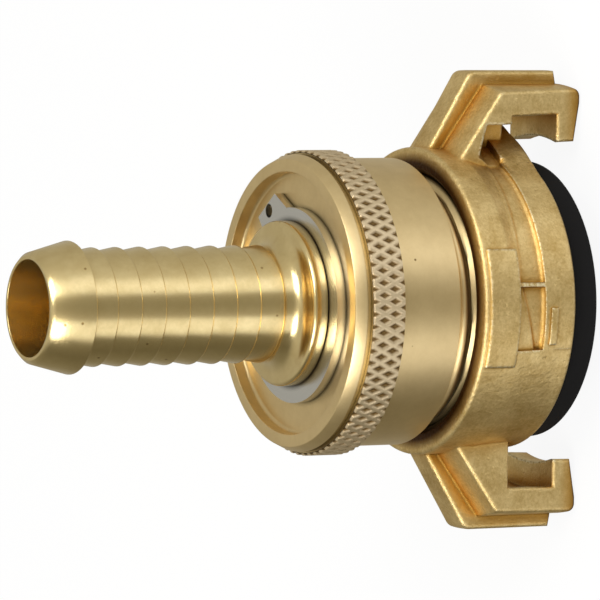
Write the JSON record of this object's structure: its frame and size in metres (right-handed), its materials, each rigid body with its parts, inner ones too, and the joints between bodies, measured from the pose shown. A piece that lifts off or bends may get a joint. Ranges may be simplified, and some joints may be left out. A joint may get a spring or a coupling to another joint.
{
  "type": "quick-claw hose coupling",
  "caption": "Brass quarter-turn claw coupling with hook claws, rubber face seal, knurled lock nut and barbed hose tail.",
  "frame": {"origin": "on the waterway's axis, in the plane of the claw noses' front lands that it stands on", "axes": "+Z along the waterway towards the hose; the two claws lie at +X and -X"},
  "size_m": [0.0564, 0.038, 0.0723],
  "materials": {
    "forged_brass": "satin",
    "turned_brass": "satin",
    "spring_steel": "satin",
    "washer_plastic": "matte",
    "seal_rubber": "matte"
  },
  "bodies": {
    "body": {"claw_body": "forged_brass"},
    "carrier": {"thrust_washer": "washer_plastic"},
    "nut": {"knurled_nut": "turned_brass"},
    "tail": {"hose_tail": "turned_brass", "retaining_ring": "spring_steel", "face_seal": "seal_rubber"}
  },
  "joints": [
    {"name": "screw_feed", "type": "slide", "parent": "body", "child": "carrier", "axis": [0, 0, 1], "range_m": [-0.00265, 0.00337]},
    {"name": "nut_turn", "type": "hinge", "parent": "carrier", "child": "nut", "pos_m": [0, 0, 0.03285], "axis": [0, 0, 1], "range_deg": [-474, 606]},
    {"name": "tail_swivel", "type": "hinge", "parent": "carrier", "child": "tail", "pos_m": [0, 0, 0.03285], "axis": [0, 0, 1], "continuous": true}
  ],
  "couplings": [
    {"joint": "screw_feed", "follows": "nut_turn", "m_per_rad": 0.00031831}
  ]
}
